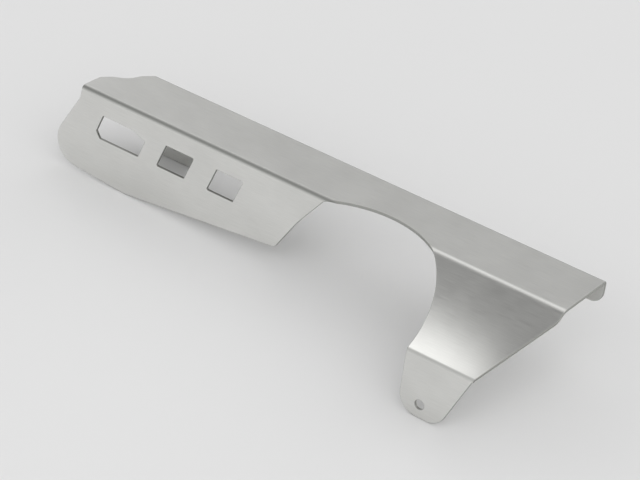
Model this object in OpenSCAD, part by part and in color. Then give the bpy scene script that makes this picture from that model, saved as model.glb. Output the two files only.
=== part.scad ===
// Motorcycle chain guard, folded from one sheet of aluminium.
// X runs from the front end to the rear end, Y to the inner side, Z up.
// The outline values count from the front end of the long bend, on the outer
// face of the front side plate (Y) and the upper face of the top plate (Z).

/* [Sheet] */
// Thickness of the aluminium sheet
sheet_t = 2; // [1.5:0.5:3]
// Inner radius of the sharp bends
bend_r = 1; // [0.8:0.2:2]
// Inner radius of the soft bend between the top plate and the rear side plate
rear_bend_r = 8; // [4:1:12]

/* [Top plate] */
// Length of the top plate along the long bend
top_len = 373; // [360:1:400]
// Width of the top plate over its bends
top_w = 49; // [44:1:60]
// Width of the square part of the front end
nose_square = 18; // [12:1:22]
// How far the inner front corner lies behind the outer one
nose_back = 25; // [16:1:32]
// Distance of the shallow hollow's middle from the outer end of the slanted edge
hollow_at = 18.5; // [14:0.5:24]
// Length of the hollow along that edge
hollow_len = 19; // [14:1:22]
// Depth of the hollow before its bottom is rounded
hollow_d = 3.4; // [1:0.2:4]
// Radius of the hollow's bottom
hollow_r = 14; // [8:1:20]
// Radius of the corners at the hollow's ends
hollow_end_r = 8; // [2:1:10]
// Depth of the lip that hangs from the inner edge
lip_h = 17; // [12:1:22]
// Radius of the lip's rear corner
lip_r = 8; // [2:1:12]

/* [Arch for the shock absorber] */
// Radius of the arch
arch_r = 65; // [60:1:68]
// Distance of the arch's centre from the front end
arch_x = 239; // [236:1:242]
// Distance of the arch's centre outside the long bend
arch_out = 52; // [48:1:54]

/* [Front side plate] */
// Depth at which the front edge starts to slant
side_square = 8; // [6:1:12]
// Radius of the corner at that depth
side_square_r = 18; // [6:1:20]
// Depth of the plate at its deepest corner
side_deep = 64; // [58:0.5:70]
// Distance of that corner from the front end
side_deep_x = 42; // [34:1:50]
// Depth of the plate under its nose
side_nose_deep = 59; // [54:0.5:64]
// How far the unrounded nose reaches in front of the top plate
side_nose_out = 28; // [22:1:32]
// Radius of the nose
side_nose_r = 17; // [12:1:20]
// Radius of the deepest corner
side_low_r = 30; // [10:5:60]
// Depth of the plate at its rear lower corner
side_rear_deep = 50; // [44:0.5:52]
// Distance of that corner from the front end
side_rear_x = 165; // [158:1:170]
// Radius of that corner
side_rear_r = 4; // [1:0.5:6]
// Place of the slight turn in the rear edge: its distance from the front end
side_turn_x = 179.5; // [176:0.5:182]
// and its depth
side_turn_deep = 25.5; // [20:0.5:32]
// Radius of that turn
side_turn_r = 120; // [40:10:160]
// How far the upper end of the rear edge stays in front of the arch
side_end_gap = 2.5; // [1:0.5:6]

/* [Windows in the front side plate] */
// Depth of the windows' upper edges below the top
win_top = 15; // [12:0.5:18]
// Height of the windows
win_h = 17.5; // [12:0.5:20]
// Forward lean of the windows' sides in degrees
win_lean = 20; // [0:1:25]
// Corner radius of the windows
win_r = 1; // [0.5:0.25:2]
// Distance of the first window from the front end
win1_x = 19.5; // [18:0.5:22]
// Length of the first window
win1_len = 37.5; // [30:0.5:40]
// How far the cut-off upper corner of the first window runs along its edge
win1_top_cut = 13; // [6:0.5:16]
// How far the cut-off lower corner of the first window runs along its edge
win1_low_cut = 5; // [2:0.5:8]
// Height of both cut-off corners
win1_cut_h = 4.5; // [2:0.5:8]
// Distance of the second window from the front end
win2_x = 72.5; // [70:0.5:76]
// Length of the second window
win2_len = 23; // [18:0.5:26]
// Distance of the third window from the front end
win3_x = 114; // [112:0.5:118]
// Length of the third window
win3_len = 21.5; // [18:0.5:26]

/* [Rear side plate] */
// Angle of the rear side plate below the top plate in degrees
flare = 30; // [24:1:36]
// Distance of the mounting tab's outer face outside the long bend
tab_out = 57.5; // [54:0.5:64]
// How far the slanted rear edge moves forward on its way to the tab
rear_edge_run = 22; // [14:1:26]
// Length of the square part of the rear end outside the long bend
rear_square = 8; // [5:1:12]
// Radius of the corner between the square part and the slanted rear edge
rear_corner_r = 12; // [4:1:24]

/* [Rear mounting tab] */
// Depth of the tab's end below the top
tab_deep = 75.5; // [72:0.5:82]
// Length of the tab's flat end before it is rounded
tab_end_len = 29; // [27:1:32]
// Radius of the tab's end
tab_r = 13; // [9:1:13]
// Distance of the hole from the front end
rear_hole_x = 318.5; // [316:0.5:322]
// Height of the hole above the tab's end
rear_hole_up = 9; // [7:0.5:12]

/* [Front mounting tab] */
// Width of the tab, which starts at the front end of the lip
ftab_w = 40; // [34:1:50]
// Depth of the tab's end below the top
ftab_deep = 55; // [48:1:60]
// Radius of the tab's lower corners
ftab_r = 8; // [4:1:12]
// Radius of the corner where the tab leaves the lip
ftab_root_r = 5; // [2:1:8]
// Height of the hole above the tab's end
ftab_hole_up = 11; // [8:1:14]

/* [Screw holes] */
// Diameter of the two screw holes
hole_d = 6.6; // [5.5:0.1:7]

/* [Hidden] */
$fn = 96;
// Steps of a rounded corner in an outline
corner_steps = 10;
// How far a cut runs past the sheet
over = 1;
// Outer radius of the sharp bends and of the soft one
bend_out = bend_r + sheet_t;
rear_bend_out = rear_bend_r + sheet_t;
// Distance from the long bend at which the top plate is flat
seam = max(bend_out, rear_bend_out * tan(flare / 2));
// Half the width of the arch where it crosses a line y outside the long bend
function arch_half(y) = sqrt(arch_r * arch_r - pow(arch_out - y, 2));
// Rear end of the front side plate, below its bend and at the top plate
side_end_x = arch_x - arch_half(0) - side_end_gap;
bend_end_x = arch_x - arch_half(-bend_out);
// Rear side plate: depth of the bend line between it and the tab
tab_drop = tab_out * tan(flare);
// Rear mounting tab: its front edge, rear upper corner and hole
tab_front_x = arch_x + arch_half(tab_out);
tab_rear_x = top_len - rear_edge_run;
rear_hole_z = rear_hole_up - tab_deep;
// Front mounting tab: its rear edge and hole
ftab_end_x = nose_back + ftab_w;
front_hole_x = nose_back + ftab_w / 2;
front_hole_z = ftab_hole_up - ftab_deep;

// Points of an arc that rounds corner b of the path a, b, c with radius r
function unit(v) = v / norm(v);
function corner(a, b, c, r) =
    let (u = unit(a - b), w = unit(c - b),
         half = acos(u * w) / 2,
         mid = b + unit(u + w) * r / sin(half),
         from = b + u * r / tan(half) - mid,
         side = sign(from.x * (w.y - u.y) - from.y * (w.x - u.x)))
    [for (i = [0:corner_steps])
        let (t = side * (180 - 2 * half) * i / corner_steps)
        mid + [from.x * cos(t) - from.y * sin(t), from.x * sin(t) + from.y * cos(t)]];

// Outline through corners [x, y, radius], where radius 0 keeps the corner sharp
function outline(p) =
    let (n = len(p), at = [for (q = p) [q.x, q.y]])
    [for (i = [0:n - 1], q = p[i].z > 0
            ? corner(at[(i + n - 1) % n], at[i], at[(i + 1) % n], p[i].z)
            : [at[i]]) q];

// A cross-section drawn in Y and Z, carried along X from x0 to x1
module along(x0, x1)
    translate([x0, 0, 0]) rotate([90, 0, 90]) linear_extrude(x1 - x0) children();

// An outline drawn in X and Z, carried along Y from y0 to y1
module across(y0, y1)
    translate([0, y1, 0]) rotate([90, 0, 0]) linear_extrude(y1 - y0) children();

// Cross-section from the top plate down the front side plate
module front_section() {
    polygon(outline([
        [seam, 0, 0], [0, 0, bend_out], [0, -side_deep, 0],
        [sheet_t, -side_deep, 0], [sheet_t, -sheet_t, bend_r], [seam, -sheet_t, 0]]));
}

// Cross-section from the top plate down the rear side plate and its tab
module rear_section() {
    turn_in = sheet_t * tan(flare / 2);
    tab_turn_in = sheet_t * tan((90 - flare) / 2);
    polygon(outline([
        [seam, 0, 0], [0, 0, rear_bend_out], [-tab_out, -tab_drop, bend_out],
        [-tab_out, -tab_deep, 0], [sheet_t - tab_out, -tab_deep, 0],
        [sheet_t - tab_out, -tab_drop - tab_turn_in, bend_r],
        [turn_in, -sheet_t, rear_bend_r], [seam, -sheet_t, 0]]));
}

// Cross-section of the top plate and its inner lip, as deep as the front tab
module upper_section() {
    polygon(outline([
        [seam, 0, 0], [top_w, 0, bend_out], [top_w, -ftab_deep, 0],
        [top_w - sheet_t, -ftab_deep, 0], [top_w - sheet_t, -sheet_t, bend_r],
        [seam, -sheet_t, 0]]));
}

// Top view of the sheet: square and slanted front end, rear end with its slant
module plan() {
    outer_end = [0, nose_square];
    slant = unit([nose_back, top_w] - outer_end);
    inward = [slant.y, -slant.x];
    // A corner of the hollow: distance along the slanted edge, depth and radius
    function hollow(d, deep, r) = concat(outer_end + d * slant + deep * inward, r);
    polygon(outline([
        [0, -over, 0], [0, nose_square, 0],
        hollow(hollow_at - hollow_len / 2, 0, hollow_end_r),
        hollow(hollow_at, hollow_d, hollow_r),
        hollow(hollow_at + hollow_len / 2, 0, hollow_end_r),
        [nose_back, top_w, 0], [nose_back, top_w + over, 0],
        [top_len, top_w + over, 0], [top_len, -rear_square, rear_corner_r],
        [tab_rear_x, -tab_out, 0], [tab_rear_x, -tab_out - over, 0],
        [arch_x, -tab_out - over, 0], [arch_x, -over, 0]]));
}

// Side view of the lip, with the front mounting tab that hangs from it
module lip_outline() {
    polygon(outline([
        [0, over, 0], [top_len, over, 0],
        [top_len, -lip_h, lip_r],
        [ftab_end_x, -lip_h, ftab_root_r], [ftab_end_x, -ftab_deep, ftab_r],
        [nose_back, -ftab_deep, ftab_r], [nose_back, -bend_out, 0], [0, -bend_out, 0]]));
}

// Side view of the front side plate
module side_outline() {
    polygon(outline([
        [0, over, 0], [0, -side_square, side_square_r],
        [-side_nose_out, -side_nose_deep, side_nose_r],
        [side_deep_x, -side_deep, side_low_r],
        [side_rear_x, -side_rear_deep, side_rear_r],
        [side_turn_x, -side_turn_deep, side_turn_r],
        [side_end_x, -bend_out, 0], [bend_end_x, -sheet_t / 2, 0],
        [bend_end_x, over, 0]]));
}

// Side view of one window: its sides lean forward on the way down,
// and its upper rear and lower front corners may be cut off
module window(x, size, cut_top = 0, cut_low = 0, cut_h = 0) {
    run = tan(win_lean);
    // A corner at depth d below the windows' upper edges, moved by dx along X
    function at(d, dx) = [x - d * run + dx, -win_top - d, win_r];
    head = cut_top > 0 ? [at(0, size - cut_top), at(cut_h, size)] : [at(0, size)];
    foot = cut_low > 0 ? [at(win_h, cut_low), at(win_h - cut_h, 0)] : [at(win_h, 0)];
    polygon(outline(concat([at(0, 0)], head, [at(win_h, size)], foot)));
}

// Side view of the rear mounting tab and the plate above it
module tab_outline() {
    polygon(outline([
        [arch_x, over, 0], [top_len + over, over, 0],
        [top_len + over, -tab_drop, 0], [tab_rear_x, -tab_drop, 0],
        [tab_front_x + tab_end_len, -tab_deep, tab_r],
        [tab_front_x, -tab_deep, tab_r], [tab_front_x, -tab_drop, 0],
        [arch_x, -tab_drop, 0]]));
}

module arch()
    translate([arch_x, -arch_out, -tab_deep - over])
        cylinder(r = arch_r, h = tab_deep + 2 * over);

module screw_hole(x, y, z)
    translate([x, y - over, z]) rotate([-90, 0, 0])
        cylinder(d = hole_d, h = sheet_t + 2 * over);

// Top plate, inner bend, lip and front mounting tab
module upper_sheet() {
    difference() {
        intersection() {
            along(0, top_len) upper_section();
            translate([0, 0, -ftab_deep - over]) linear_extrude(ftab_deep + 2 * over) plan();
            across(-over, top_w + over) lip_outline();
        }
        arch();
        screw_hole(front_hole_x, top_w - sheet_t, front_hole_z);
    }
}

// Front side plate with its bend to the top plate
module front_side() {
    difference() {
        intersection() {
            along(-side_nose_out, bend_end_x) front_section();
            across(-over, seam + over) side_outline();
        }
        across(-over, sheet_t + over) {
            window(win1_x, win1_len, win1_top_cut, win1_low_cut, win1_cut_h);
            window(win2_x, win2_len);
            window(win3_x, win3_len);
        }
        arch();
    }
}

// Rear side plate with its two bends, and the mounting tab
module rear_side() {
    difference() {
        intersection() {
            along(arch_x, top_len) rear_section();
            translate([0, 0, -tab_deep - over]) linear_extrude(tab_deep + 2 * over) plan();
            across(-tab_out - over, seam + over) tab_outline();
        }
        arch();
        screw_hole(rear_hole_x, -tab_out, rear_hole_z);
    }
}

module chain_guard() {
    // The origin lies in the rear hole, halfway through the sheet
    color("silver") translate([-rear_hole_x, tab_out - sheet_t / 2, -rear_hole_z]) {
        upper_sheet();
        front_side();
        rear_side();
    }
}

chain_guard();
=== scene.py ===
import math

import bpy
import numpy as np
from mathutils import Matrix, Vector
from mathutils.geometry import delaunay_2d_cdt


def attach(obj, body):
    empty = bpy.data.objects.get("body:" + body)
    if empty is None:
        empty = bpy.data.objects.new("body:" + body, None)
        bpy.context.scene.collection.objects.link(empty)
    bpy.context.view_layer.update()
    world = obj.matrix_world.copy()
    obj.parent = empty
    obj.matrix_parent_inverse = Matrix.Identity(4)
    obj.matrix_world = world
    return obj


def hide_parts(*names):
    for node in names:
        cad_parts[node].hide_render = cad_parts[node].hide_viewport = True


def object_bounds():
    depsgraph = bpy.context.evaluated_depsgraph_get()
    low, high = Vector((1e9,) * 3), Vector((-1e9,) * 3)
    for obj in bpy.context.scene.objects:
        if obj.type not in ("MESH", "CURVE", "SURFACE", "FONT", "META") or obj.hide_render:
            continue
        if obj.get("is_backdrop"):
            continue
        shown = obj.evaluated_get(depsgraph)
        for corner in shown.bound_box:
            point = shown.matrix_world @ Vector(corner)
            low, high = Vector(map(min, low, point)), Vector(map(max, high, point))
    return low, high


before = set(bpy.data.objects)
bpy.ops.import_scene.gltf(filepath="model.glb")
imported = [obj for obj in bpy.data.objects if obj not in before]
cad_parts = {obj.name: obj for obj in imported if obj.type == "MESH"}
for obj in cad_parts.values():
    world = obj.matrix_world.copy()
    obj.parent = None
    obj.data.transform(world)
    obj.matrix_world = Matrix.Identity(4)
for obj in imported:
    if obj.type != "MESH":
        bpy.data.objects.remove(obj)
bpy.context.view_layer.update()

# The camera looks at the guard from its outer side, from behind and above, with a long lens
# and a slight roll. The photograph shows the front end of the long bend at a known pixel,
# and the camera is placed so that this corner falls there.
IMAGE_WIDTH, IMAGE_HEIGHT = 640, 480
FOCAL_PX = 2500
SENSOR_MM = 36
AZIMUTH, ELEVATION, ROLL = 31.91, 30.55, 7.91
FRONT_END_PX = (82.0, 85.2)
FRONT_END_DEPTH = 1.636
# Front end of the long bend, in mm: the corner between the top plate and the front side plate
MM = 0.001
FRONT_END = (-318.5, 56.5, 66.5)


def view_axes(azimuth, elevation, roll):
    """Right, up and back of a camera that looks from this side, turned by the roll."""
    a, e, r = map(math.radians, (azimuth, elevation, roll))
    back = Vector((math.cos(e) * math.sin(a), -math.cos(e) * math.cos(a), math.sin(e)))
    right = Vector((math.cos(a), math.sin(a), 0))
    up = back.cross(right)
    return right * math.cos(r) + up * math.sin(r), up * math.cos(r) - right * math.sin(r), back


right, up, back = view_axes(AZIMUTH, ELEVATION, ROLL)
seen_x = (FRONT_END_PX[0] - IMAGE_WIDTH / 2) / FOCAL_PX
seen_y = (IMAGE_HEIGHT / 2 - FRONT_END_PX[1]) / FOCAL_PX
eye = Vector(FRONT_END) * MM - FRONT_END_DEPTH * (seen_x * right + seen_y * up - back)
camera = bpy.data.objects.new("camera", bpy.data.cameras.new("camera"))
camera.data.sensor_width = SENSOR_MM
camera.data.lens = FOCAL_PX / IMAGE_WIDTH * SENSOR_MM
camera.matrix_world = Matrix((
    (right.x, up.x, back.x, eye.x),
    (right.y, up.y, back.y, eye.y),
    (right.z, up.z, back.z, eye.z),
    (0, 0, 0, 1)))
bpy.context.scene.collection.objects.link(camera)
bpy.context.scene.camera = camera


# The guard is one sheet of aluminium, 2 mm thick. Its outline, windows and holes are cut from
# the flat sheet, the burr is brushed off, and a press folds it. It is made the same way here:
# a flat blank in mm, x along it and v across it from the long bend, is cut and then folded.
SHEET = 2.0
TOP_LENGTH, TOP_WIDTH = 373.0, 49.0
LIP_DEEP = 17.0
# The rear side plate flares out at a soft bend, and its tab turns down this far out
FLARE = math.radians(30)
TAB_OUT = 57.5
# A bend is its start, counted from the long bend on the outer face, its outer radius and angle
SHARP_R, SOFT_R = 3.0, 10.0
SQUARE = math.pi / 2
TAB_TURN = SQUARE - FLARE
soft_start = -SOFT_R * math.tan(FLARE / 2)
slope = TAB_OUT / math.cos(FLARE) + soft_start - SHARP_R * math.tan(TAB_TURN / 2)
LIP_BENDS = [(TOP_WIDTH - SHARP_R, SHARP_R, SQUARE)]
FRONT_BENDS = [(-SHARP_R, SHARP_R, SQUARE)]
REAR_BENDS = [(soft_start, SOFT_R, FLARE),
              (soft_start + SOFT_R * FLARE + slope, SHARP_R, TAB_TURN)]
# Distances from the long bend among which a path's place on the blank is looked up
LOOKED_UP = np.linspace(-60, 160, 8001)
LEAST_RISE = 1e-6
# Number of points in each rounded corner, and the longest step between points of a path
ARC_STEPS = 12
STEP, FINE_STEP = 1.2, 0.8


def folded(d, w, bends, dd=0.0, dw=0.0):
    """Folds a sheet down along its bends. d runs along its outer face and w is the height over
    it. What lies past a bend's start is wrapped round the bend, and what lies past its end goes
    straight on. A direction (dd, dw) turns with it."""
    for start, radius, angle in reversed(bends):
        past = d - start
        turn = np.clip(past / radius, 0, angle)
        rest = past - radius * turn
        sine, cosine = np.sin(turn), np.cos(turn)
        d = start + (radius + w) * sine + rest * cosine
        w = (radius + w) * cosine - radius - rest * sine
        dd, dw = dd * cosine + dw * sine, dw * cosine - dd * sine
    return d, w, dd, dw


def laid_flat(path, bends, seen_from, side):
    """Lays a path on the blank: it was drawn in x and y, seen from the top, or in x and z, seen
    from the side. Each point goes to the distance from the long bend at which the folded sheet
    is as far out, or as far down, as the point. side is 1 inside the long bend, -1 outside."""
    out, height, _, _ = folded(LOOKED_UP, 0 * LOOKED_UP, bends)
    reach, wanted = (out, side * path[:, 1]) if seen_from == "top" else (-height, -path[:, 1])
    rising = np.append(np.diff(reach) > LEAST_RISE, False)
    across = np.interp(wanted, reach[rising], LOOKED_UP[rising])
    return np.column_stack([path[:, 0], side * across])


def rounded(*corners, closed=False, step=STEP):
    """A path through corners (a, b, radius). A corner that has a radius becomes an arc round the
    point on its middle line that lies radius / sine of half its angle away, and the stretches
    between arcs are divided evenly."""
    at = np.array([corner[:2] for corner in corners], float)
    path = []
    for i, (_, _, radius) in enumerate(corners):
        if radius == 0:
            path.append(at[i])
            continue
        to_last, to_next = at[i - 1] - at[i], at[(i + 1) % len(at)] - at[i]
        to_last /= np.linalg.norm(to_last)
        to_next /= np.linalg.norm(to_next)
        half = math.acos(to_last @ to_next) / 2
        middle = at[i] + (to_last + to_next) * radius / math.sin(2 * half)
        first = at[i] + to_last * radius / math.tan(half) - middle
        last = at[i] + to_next * radius / math.tan(half) - middle
        side = (last - first * math.cos(math.pi - 2 * half)) / math.sin(math.pi - 2 * half)
        turn = np.linspace(0, math.pi - 2 * half, ARC_STEPS + 1)
        path.extend(middle + np.outer(np.cos(turn), first) + np.outer(np.sin(turn), side))
    path = np.array(path)
    ends = np.roll(path, -1, axis=0) if closed else path[1:]
    points = [np.linspace(a, b, max(1, math.ceil(np.hypot(*(b - a)) / step)), endpoint=False)
              for a, b in zip(path, ends)]
    return np.vstack(points if closed else points + [path[-1:]])


# The front side plate covers the chain. It is folded down square from the top plate, with a round
# nose, and its lower edge rises to the rear. A corner is x, height from the top face and radius.
NOSE_TOP, NOSE_LOW, LOWEST = (0, -8, 18), (-28, -59, 17), (42, -64, 30)
REAR_LOW, REAR_BOW, REAR_TOP = (165, -50, 4), (179.5, -25.5, 120), 196.5
front_plate = rounded((0, -SHARP_R, 0), NOSE_TOP, NOSE_LOW, LOWEST,
                      REAR_LOW, REAR_BOW, (REAR_TOP, -SHARP_R, 0))

# The arch leaves room for the shock absorber. It is one round cut through the long bend, from
# the top of the front side plate to the front edge of the rear tab.
ARCH_X, ARCH_OUT, ARCH_R = 239.0, 52.0, 65.0
ARCH_POINTS = 160
turn = np.linspace(math.pi - math.asin((ARCH_OUT + SHARP_R) / ARCH_R),
                   math.asin((ARCH_OUT - TAB_OUT) / ARCH_R), ARCH_POINTS)
arch = np.column_stack([ARCH_X + ARCH_R * np.cos(turn), ARCH_R * np.sin(turn) - ARCH_OUT])

# The rear tab is screwed to the swing arm. It hangs from the flared rear side plate, whose rear
# edge slants forward from the end of the top plate.
TAB_DEEP, TAB_LENGTH, TAB_R = 75.5, 29, 13
TAB_REAR_IN, TAB_LEAN = 22, 0.7
SLANT_AT, SLANT_R = -8, 12
tab_bend_end = -TAB_OUT * math.tan(FLARE) - SHARP_R * math.tan(TAB_TURN / 2)
tab_front = arch[-1, 0]
tab_rear = TOP_LENGTH - TAB_REAR_IN
rear_tab = rounded((tab_front, tab_bend_end, 0), (tab_front, -TAB_DEEP, TAB_R),
                   (tab_front + TAB_LENGTH, -TAB_DEEP, TAB_R),
                   (tab_rear - TAB_LEAN, tab_bend_end, 0))
rear_edge = rounded((tab_rear, -TAB_OUT, 0), (TOP_LENGTH, SLANT_AT, SLANT_R),
                    (TOP_LENGTH, TOP_WIDTH, 0), step=FINE_STEP)

# The lip is folded down along the inner edge and stiffens the top plate. The front tab hangs
# from its front end and takes the second screw. Its corners are rounded so as not to cut.
LIP_R = 8
FRONT_TAB_START, FRONT_TAB_END, FRONT_TAB_DEEP = 25, 65, 55
FRONT_TAB_R, FRONT_TAB_ROOT_R = 8, 5
lip = rounded((TOP_LENGTH, -SHARP_R, 0), (TOP_LENGTH, -LIP_DEEP, LIP_R),
              (FRONT_TAB_END, -LIP_DEEP, FRONT_TAB_ROOT_R),
              (FRONT_TAB_END, -FRONT_TAB_DEEP, FRONT_TAB_R),
              (FRONT_TAB_START, -FRONT_TAB_DEEP, FRONT_TAB_R), (FRONT_TAB_START, -SHARP_R, 0))

# The front end of the top plate is cut at a slant, with a shallow hollow in it. The hollow's
# corners are distance along the slant, depth and radius.
SLANT_START = 18.0
HOLLOW = ((28, 0, 8), (18.5, 3.4, 14), (9, 0, 8))
slant = np.array([FRONT_TAB_START, TOP_WIDTH - SLANT_START])
slant /= np.linalg.norm(slant)
into = np.array([slant[1], -slant[0]])
hollow = [(*(np.array([0, SLANT_START]) + along * slant + deep * into), radius)
          for along, deep, radius in HOLLOW]
nose = rounded((FRONT_TAB_START, TOP_WIDTH, 0), *hollow, (0, SLANT_START, 0), (0, SHARP_R, 0),
               step=FINE_STEP)
outline = np.vstack([
    laid_flat(front_plate, FRONT_BENDS, "side", -1),
    laid_flat(arch[arch[:, 1] > SHARP_R], FRONT_BENDS, "top", -1),
    laid_flat(arch[(arch[:, 1] <= SHARP_R) & (arch[:, 0] > ARCH_X)], REAR_BENDS, "top", -1),
    laid_flat(rear_tab, REAR_BENDS, "side", -1),
    laid_flat(rear_edge[rear_edge[:, 1] < 0], REAR_BENDS, "top", -1),
    laid_flat(rear_edge[rear_edge[:, 1] >= 0], LIP_BENDS, "top", 1),
    laid_flat(lip, LIP_BENDS, "side", 1),
    laid_flat(nose, LIP_BENDS, "top", 1)])

# Three windows in the front side plate save weight and show the chain. They have one height and
# their ends lean forward, and the front one is longer, with two of its corners cut off.
WINDOW_TOP, WINDOW_HEIGHT, CUT_HEIGHT, WINDOW_R = 15, 17.5, 4.5, 1
WINDOW_LEAN = math.tan(math.radians(20))
# Front end of each window's upper edge, its length, and the lengths cut off above and below
WINDOWS = ((19.5, 37.5, 13, 5), (72.5, 23, 0, 0), (114, 21.5, 0, 0))


def window(x, length, top_cut, low_cut):
    """A window of four leaning corners, with its upper rear and lower front ones cut off where a
    cut has a length. A point moves forward by the lean times its depth under the upper edge."""
    def at(down, along):
        return x - down * WINDOW_LEAN + along, -WINDOW_TOP - down, WINDOW_R
    upper = [at(CUT_HEIGHT, length), at(0, length - top_cut)] if top_cut else [at(0, length)]
    lower = [at(WINDOW_HEIGHT, low_cut)] if low_cut else []
    front = at(WINDOW_HEIGHT - CUT_HEIGHT, 0) if low_cut else at(WINDOW_HEIGHT, 0)
    path = rounded(at(WINDOW_HEIGHT, length), *upper, at(0, 0), front, *lower, closed=True)
    return laid_flat(path[::-1], FRONT_BENDS, "side", -1)


# Each tab is bored for one 6 mm screw, with some play. A hole's place is x and height.
HOLE_R, HOLE_POINTS = 3.3, 64
FRONT_HOLE, REAR_HOLE = (45, -44), (318.5, -66.5)


def screw_hole(place, bends, side):
    """A circle on the blank round the place of a hole: cosine and sine times its radius."""
    turn = np.linspace(0, 2 * math.pi, HOLE_POINTS, endpoint=False)
    middle = laid_flat(np.array([place]), bends, "side", side)
    return middle + HOLE_R * np.column_stack([np.cos(turn), -np.sin(turn)])


openings = [window(*sizes) for sizes in WINDOWS]
openings += [screw_hole(FRONT_HOLE, LIP_BENDS, 1), screw_hole(REAR_HOLE, REAR_BENDS, -1)]

# The blank is cut, and a brush breaks its sharp edges. Its outline and openings are drawn in by
# what the brush takes off, and the sheet between them is filled with triangles.
BROKEN_EDGE = 0.3
# Limits how far a sharp corner is drawn in, to 1 / 0.5 times the sum of both sides' normals
SHARPEST = 0.5


def area(loop):
    """Twice the signed area: more than 0 where the loop runs round to the left."""
    return np.sum(loop[:, 0] * np.roll(loop[:, 1], -1) - np.roll(loop[:, 0], -1) * loop[:, 1])


def outward(before, at, after):
    """Directions that point out of the sheet at its edge, which has the sheet on its left: the
    sum of both sides' normals, over the share of it along one of them, so that at a corner both
    sides move by the same distance."""
    sides = [step / np.linalg.norm(step, axis=1, keepdims=True)
             for step in (at - before, after - at)]
    sides = [np.column_stack([side[:, 1], -side[:, 0]]) for side in sides]
    both = sides[0] + sides[1]
    return both / np.maximum(np.sum(both * sides[0], axis=1, keepdims=True), SHARPEST)


loops = [outline if area(outline) > 0 else outline[::-1]]
loops += [loop if area(loop) < 0 else loop[::-1] for loop in openings]
loops = [loop - BROKEN_EDGE * outward(np.roll(loop, 1, axis=0), loop, np.roll(loop, -1, axis=0))
         for loop in loops]

# Lines along the bends, across which the sheet can turn, are laid into the blank. They run past
# both of its ends, and points closer than SAME_POINT are one.
BEND_STEP = math.radians(7.5)
PAST_ENDS = (-50, 400)
SAME_POINT = 1e-4
points, edges = list(np.vstack(loops)), []
count = 0
for loop in loops:
    edges += [(count + i, count + (i + 1) % len(loop)) for i in range(len(loop))]
    count += len(loop)
for bends, side, low, high in ((LIP_BENDS, 1, *PAST_ENDS),
                               (FRONT_BENDS, -1, PAST_ENDS[0], ARCH_X),
                               (REAR_BENDS, -1, ARCH_X, PAST_ENDS[1])):
    for start, radius, angle in bends:
        for d in start + radius * np.linspace(0, angle, round(angle / BEND_STEP) + 1):
            edges.append((len(points), len(points) + 1))
            points += [(low, side * d), (high, side * d)]
flat, _, triangles, *_ = delaunay_2d_cdt([Vector(p) for p in points], edges, [], 0, SAME_POINT)
flat = np.array(flat)
triangles = np.array(triangles)


def inside(at, loops):
    """True where a point lies inside an odd number of loops: a ray from it along x crosses their
    sides an odd number of times."""
    found = np.zeros(len(at), bool)
    for loop in loops:
        x0, y0 = loop.T
        x1, y1 = np.roll(loop, -1, axis=0).T
        px, py = at[:, :1], at[:, 1:]
        with np.errstate(divide="ignore", invalid="ignore"):
            cross = x0 + (py - y0) * (x1 - x0) / (y1 - y0)
        found ^= (((y0 > py) != (y1 > py)) & (px < cross)).sum(axis=1) % 2 == 1
    return found


corners = flat[triangles]
turned = np.cross(corners[:, 1] - corners[:, 0], corners[:, 2] - corners[:, 0]) < 0
triangles[turned] = triangles[turned][:, ::-1]
triangles = triangles[inside(corners.mean(axis=1), loops)]
kept = np.unique(triangles)
flat, triangles = flat[kept], np.searchsorted(kept, triangles)

# The edge of the sheet: directed sides of the triangles that no other triangle shares
sides = np.vstack([triangles[:, [0, 1]], triangles[:, [1, 2]], triangles[:, [2, 0]]])
code = sides[:, 0] * len(flat) + sides[:, 1]
rim = sides[~np.isin(code, sides[:, 1] * len(flat) + sides[:, 0])]
rim = rim[np.argsort(rim[:, 0])]
following = rim[:, 1]
order = np.searchsorted(rim[:, 0], following)
before = np.empty(len(rim), int)
before[order] = rim[:, 0]
way_out = outward(flat[before], flat[rim[:, 0]], flat[following])

# Rings round the rim: a quarter turn over the upper edge, the cut face, and the lower edge.
# The distance out is the broken edge times the sine, and the depth is it times 1 - cosine.
EDGE_RINGS = 4
quarter = np.linspace(0, SQUARE, EDGE_RINGS)
out = BROKEN_EDGE * np.sin(quarter)
deep = BROKEN_EDGE * (1 - np.cos(quarter))
out = np.concatenate([out, out[::-1]])
deep = np.concatenate([deep, SHEET - deep[::-1]])
lean = np.concatenate([quarter, math.pi - quarter[::-1]])
n, m, rings = len(flat), len(rim), len(out)
xv = np.vstack([flat, flat] + [flat[rim[:, 0]] + o * way_out for o in out[1:-1]])
w = -np.concatenate([np.zeros(n), np.full(n, SHEET), np.repeat(deep[1:-1], m)])
unit_out = way_out / np.linalg.norm(way_out, axis=1, keepdims=True)
facing = np.vstack([np.tile([0, 0, 1.0], (n, 1)), np.tile([0, 0, -1.0], (n, 1))]
                   + [np.column_stack([unit_out * math.sin(a), np.full(m, math.cos(a))])
                      for a in lean[1:-1]])

# The press folds the blank: each point turns with the part of the sheet that it lies on. Along the
# sharp bends the colour is darkened, painted shade for a dark line in the creases, and the finish
# is rougher there.


def crease_weight(d, bends):
    """Weight of the painted crease shade and of the rougher finish: half a sine wave over each
    sharp bend, which is 1 in the middle of a square one and less in one that turns less. Elsewhere
    it is 0."""
    return sum(np.sin(math.pi * np.clip((d - start) / (radius * angle), 0, 1)) * (angle / SQUARE)
               for start, radius, angle in bends if radius == SHARP_R)


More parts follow.
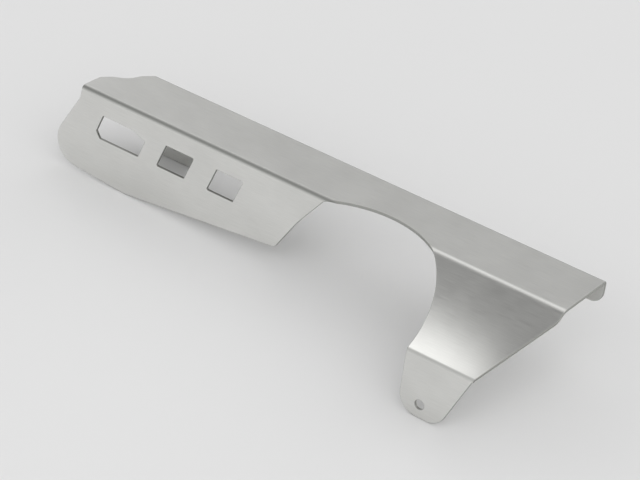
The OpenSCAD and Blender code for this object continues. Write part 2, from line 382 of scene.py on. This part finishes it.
x, v = xv.T
place, normals, crease_shade_and_rough = np.empty((len(x), 3)), np.empty((len(x), 3)), np.empty(len(x))
for bends, side, here in ((LIP_BENDS, 1, v > TOP_WIDTH / 2),
                          (FRONT_BENDS, -1, (v <= TOP_WIDTH / 2) & (x < ARCH_X)),
                          (REAR_BENDS, -1, (v <= TOP_WIDTH / 2) & (x >= ARCH_X))):
    d, height, dd, dw = folded(side * v[here], w[here], bends,
                               side * facing[here, 1], facing[here, 2])
    place[here] = np.column_stack([x[here], side * d, height])
    crease_shade_and_rough[here] = crease_weight(side * v[here], bends)
    normals[here] = np.column_stack([facing[here, 0], side * dd, dw])
place = (place + FRONT_END) * MM

between = 2 * n + np.arange(m * (rings - 2)).reshape(rings - 2, m)
ring = np.vstack([rim[:, 0], between, n + rim[:, 0]])
upper, lower = ring[:-1], ring[1:]
quads = np.stack([lower, lower[:, order], upper[:, order], upper], axis=2).reshape(-1, 4)
faces = triangles.tolist() + (triangles[:, ::-1] + n).tolist() + quads.tolist()
mesh = bpy.data.meshes.new("folded_sheet")
mesh.from_pydata(place.tolist(), [], faces)
mesh.shade_smooth()
mesh.normals_split_custom_set_from_vertices(normals.tolist())

# The UV map is the flat blank in metres, so that the grain follows the folds. The cut face lies
# in it as if it were opened out, and cut_edge is 1 on it and 0 on the faces of the sheet.
opened = np.vstack([flat, flat] + [flat[rim[:, 0]] + (o + d) * way_out
                                   for o, d in zip(out[1:-1], deep[1:-1])]) * MM
corner_points = np.empty(len(mesh.loops), np.int32)
mesh.loops.foreach_get("vertex_index", corner_points)
mesh.uv_layers.new(name="blank").data.foreach_set("uv", opened[corner_points].ravel())
# The second attribute weighs the painted shade and the rougher finish along the sharp bends
for name, values in (("cut_edge", np.arange(len(x)) >= 2 * n), ("crease_shade_and_rough", crease_shade_and_rough)):
    mesh.attributes.new(name, "FLOAT", "POINT").data.foreach_set("value", values.astype(np.float32))
sheet = bpy.data.objects.new("folded_sheet", mesh)
bpy.context.scene.collection.objects.link(sheet)
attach(sheet, "root")
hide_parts("chain_guard")

# Brushed and then anodised clear, the aluminium is a satin, pale grey metal. Its grain runs
# along the sheet and blurs what it mirrors. The scratches are under 0.1 mm wide, too fine to
# show, so they are drawn 0.5 mm wide and 14 mm long. The tone also drifts softly over 40 mm.
GUARD_GREY, GUARD_DARK = "#dfdfdc", "#d6d6d3"
# The edge grey is painted shade that dims the light the cut face catches
EDGE_SHADE_GREY, CREASE_SHADE_GREY = "#a3a4a0", "#90918e"
GRAIN_LONG, GRAIN_WIDE, GRAIN_DEEP = 14 * MM, 0.5 * MM, 0.02 * MM
GRAIN_DETAIL, GRAIN_ROUGH, BUMP = 4.0, 0.6, 0.1
CLOUD_WIDE, CLOUD_DETAIL = 40 * MM, 3.0
# Noise values between which the tone, from the sum of both patterns, and the gloss change
TONE_FROM, TONE_TO = 0.7, 1.3
GLOSS_FROM, GLOSS_TO = 0.3, 0.7
ROUGH_LOW, ROUGH_HIGH = 0.28, 0.35
BEND_ROUGHER, EDGE_ROUGHER = 0.35, 0.2


def linear(hex_colour):
    """The linear colour, with alpha, of an sRGB hex colour, by the sRGB curve."""
    parts = np.array([int(hex_colour[i:i + 2], 16) for i in (1, 3, 5)]) / 255
    curve = np.where(parts <= 0.04045, parts / 12.92, ((parts + 0.055) / 1.055) ** 2.4)
    return (*curve.tolist(), 1)


def add(tree, kind, links=None, **settings):
    """Adds a node with its settings, and links its inputs to other nodes' outputs."""
    node = tree.nodes.new(kind)
    for name, value in settings.items():
        if hasattr(node, name):
            setattr(node, name, value)
        else:
            node.inputs[name.replace("_", " ")].default_value = value
    for name, source in (links or {}).items():
        tree.links.new(node.inputs[name], source)
    return node


def new_material(name):
    """An empty node material and its tree."""
    made = bpy.data.materials.new(name)
    made.use_nodes = True
    made.node_tree.nodes.clear()
    return made, made.node_tree


anodised, tree = new_material("brushed_anodised_aluminium")
blank_map = add(tree, "ShaderNodeUVMap", uv_map="blank").outputs["UV"]
grain = add(tree, "ShaderNodeMapping", {"Vector": blank_map})
grain.inputs["Scale"].default_value = (1 / GRAIN_LONG, 1 / GRAIN_WIDE, 1)
grain = add(tree, "ShaderNodeTexNoise", {"Vector": grain.outputs["Vector"]},
            noise_dimensions="2D", Scale=1.0, Detail=GRAIN_DETAIL,
            Roughness=GRAIN_ROUGH).outputs["Fac"]
cloud = add(tree, "ShaderNodeTexNoise", {"Vector": blank_map},
            noise_dimensions="2D", Scale=1 / CLOUD_WIDE, Detail=CLOUD_DETAIL).outputs["Fac"]
edge = add(tree, "ShaderNodeAttribute", attribute_name="cut_edge").outputs["Fac"]
bend = add(tree, "ShaderNodeAttribute", attribute_name="crease_shade_and_rough").outputs["Fac"]
tone = add(tree, "ShaderNodeMath", {0: grain, 1: cloud}, operation="ADD").outputs[0]
tone = add(tree, "ShaderNodeMapRange", {"Value": tone},
           From_Min=TONE_FROM, From_Max=TONE_TO).outputs[0]
colour = add(tree, "ShaderNodeMix", {"Factor": tone}, data_type="RGBA")
colour.inputs["A"].default_value = linear(GUARD_DARK)
colour.inputs["B"].default_value = linear(GUARD_GREY)
# Painted shade: the sharp bends are darkened towards the crease grey by their weight
crease_shaded_colour = add(tree, "ShaderNodeMix", {"Factor": bend, "A": colour.outputs["Result"]},
                  data_type="RGBA")
crease_shaded_colour.inputs["B"].default_value = linear(CREASE_SHADE_GREY)
# Painted shade: the cut face is darkened towards the edge grey so that it catches less light
edge_shaded_colour = add(tree, "ShaderNodeMix", {"Factor": edge, "A": crease_shaded_colour.outputs["Result"]},
           data_type="RGBA")
edge_shaded_colour.inputs["B"].default_value = linear(EDGE_SHADE_GREY)
gloss = add(tree, "ShaderNodeMapRange", {"Value": grain}, From_Min=GLOSS_FROM,
            From_Max=GLOSS_TO, To_Min=ROUGH_LOW, To_Max=ROUGH_HIGH).outputs[0]
for where, rougher in ((bend, BEND_ROUGHER), (edge, EDGE_ROUGHER)):
    gloss = add(tree, "ShaderNodeMath", {0: where, 2: gloss}, operation="MULTIPLY_ADD")
    gloss.inputs[1].default_value = rougher
    gloss = gloss.outputs[0]
bump = add(tree, "ShaderNodeBump", {"Height": grain}, Strength=BUMP, Distance=GRAIN_DEEP)
shader = add(tree, "ShaderNodeBsdfPrincipled",
             {"Base Color": edge_shaded_colour.outputs["Result"], "Roughness": gloss,
              "Normal": bump.outputs["Normal"]}, Metallic=1.0)
add(tree, "ShaderNodeOutputMaterial", {"Surface": shader.outputs["BSDF"]})
mesh.materials.append(anodised)

# The guard lies on a pale matt table. It touches it with the end of the rear tab, the front
# side plate and the end of the front tab. The plane through these points is the table top. Seen
# from below it is clear, so that the guard shows from there too.
FLOOR_SIZE = 12.0
TABLE_WHITE, TABLE_ROUGH = "#e1e1e1", 0.8
# Where the touching parts lie: the rear tab past REAR_FROM in x, the front plate and tab before
# FRONT_TO, and of these the plate up to PLATE_TO in y and the tab from TAB_FROM. The plane is
# found in a few rounds, each of which looks for the lowest points under the last one's tilt.
REAR_FROM, FRONT_TO = -50 * MM, -100 * MM
PLATE_TO, TAB_FROM = 70 * MM, 90 * MM
TILTS = 8

in_front = place[:, 0] < FRONT_TO
touching = [place[place[:, 0] > REAR_FROM], place[in_front & (place[:, 1] < PLATE_TO)],
            place[in_front & (place[:, 1] > TAB_FROM)]]
normal = np.array([0, 0, 1.0])
for _ in range(TILTS):
    lowest = np.array([part[np.argmin(part @ normal)] for part in touching])
    normal = np.cross(lowest[1] - lowest[0], lowest[2] - lowest[0])
    normal *= np.sign(normal[2]) / np.linalg.norm(normal)
middle = lowest.mean(axis=0)
along = np.cross([0, 1, 0], normal)
along /= np.linalg.norm(along)
across = np.cross(normal, along)
half = FLOOR_SIZE / 2
corners = [middle + along * x + across * y for x, y in
           ((-half, -half), (half, -half), (half, half), (-half, half))]
floor_mesh = bpy.data.meshes.new("floor")
floor_mesh.from_pydata(corners, [], [(0, 1, 2, 3)])
floor = bpy.data.objects.new("floor", floor_mesh)
bpy.context.scene.collection.objects.link(floor)
table_top, tree = new_material("table_top")
shader = add(tree, "ShaderNodeBsdfPrincipled", Roughness=TABLE_ROUGH)
shader.inputs["Base Color"].default_value = linear(TABLE_WHITE)
clear = add(tree, "ShaderNodeBsdfTransparent")
below = add(tree, "ShaderNodeNewGeometry").outputs["Backfacing"]
surface = add(tree, "ShaderNodeMixShader", {0: below, 1: shader.outputs[0], 2: clear.outputs[0]})
add(tree, "ShaderNodeOutputMaterial", {"Surface": surface.outputs[0]})
floor_mesh.materials.append(table_top)
floor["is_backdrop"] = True

# Soft studio light from a white tent with two grey openings: one behind, which the top plate
# mirrors, and one overhead, which the rear side plate and the front bend mirror. A small panel
# close over the outer side, which only the metal mirrors, lights the rear side plate at its tab.
# Its light goes almost straight down, so that the top plate doesn't mirror it from behind.
TENT_WHITE, TENT_STRENGTH = "#ffffff", 1.21
# Direction of each opening, its inner and outer half angle in degrees, and how much it darkens
OPENINGS = {"behind": ((-0.33, 0.84, 0.44), 12, 28, 0.59),
            "overhead": ((-0.37, -0.2, 0.90), 12, 38, 0.8)}
# The small panel's centre and sides in metres, its watts and how far its light spreads
NEAR_PLACE, NEAR_SIZE = (-0.17, -0.145, 0.18), (0.30, 0.29)
NEAR_POWER, NEAR_SPREAD = 0.175, math.radians(90)

world = bpy.data.worlds.new("tent")
world.use_nodes = True
tree = world.node_tree
tree.nodes.clear()
way = add(tree, "ShaderNodeTexCoord").outputs["Generated"]
walls = []
for level, (axis, inner, outer, darker) in zip((TENT_STRENGTH, 1), OPENINGS.values()):
    facing = add(tree, "ShaderNodeVectorMath", {0: way}, operation="DOT_PRODUCT")
    facing.inputs[1].default_value = Vector(axis).normalized()
    wall = add(tree, "ShaderNodeMapRange", {"Value": facing.outputs["Value"]},
               interpolation_type="SMOOTHSTEP", From_Min=math.cos(math.radians(outer)),
               From_Max=math.cos(math.radians(inner)), To_Min=level, To_Max=level * (1 - darker))
    walls.append(wall.outputs[0])
strength = add(tree, "ShaderNodeMath", {0: walls[0], 1: walls[1]}, operation="MULTIPLY")
background = add(tree, "ShaderNodeBackground", {"Strength": strength.outputs[0]})
background.inputs["Color"].default_value = linear(TENT_WHITE)
add(tree, "ShaderNodeOutputWorld", {"Surface": background.outputs["Background"]})
bpy.context.scene.world = world

# The small panel faces straight down
light = bpy.data.lights.new("near_panel", "AREA")
light.shape = "RECTANGLE"
light.size, light.size_y = NEAR_SIZE
light.energy, light.spread = NEAR_POWER, NEAR_SPREAD
near = bpy.data.objects.new("near_panel", light)
near.location = NEAR_PLACE
near.visible_camera = near.visible_diffuse = False
bpy.context.scene.collection.objects.link(near)

bpy.context.scene.view_settings.view_transform = "Standard"
low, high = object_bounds()
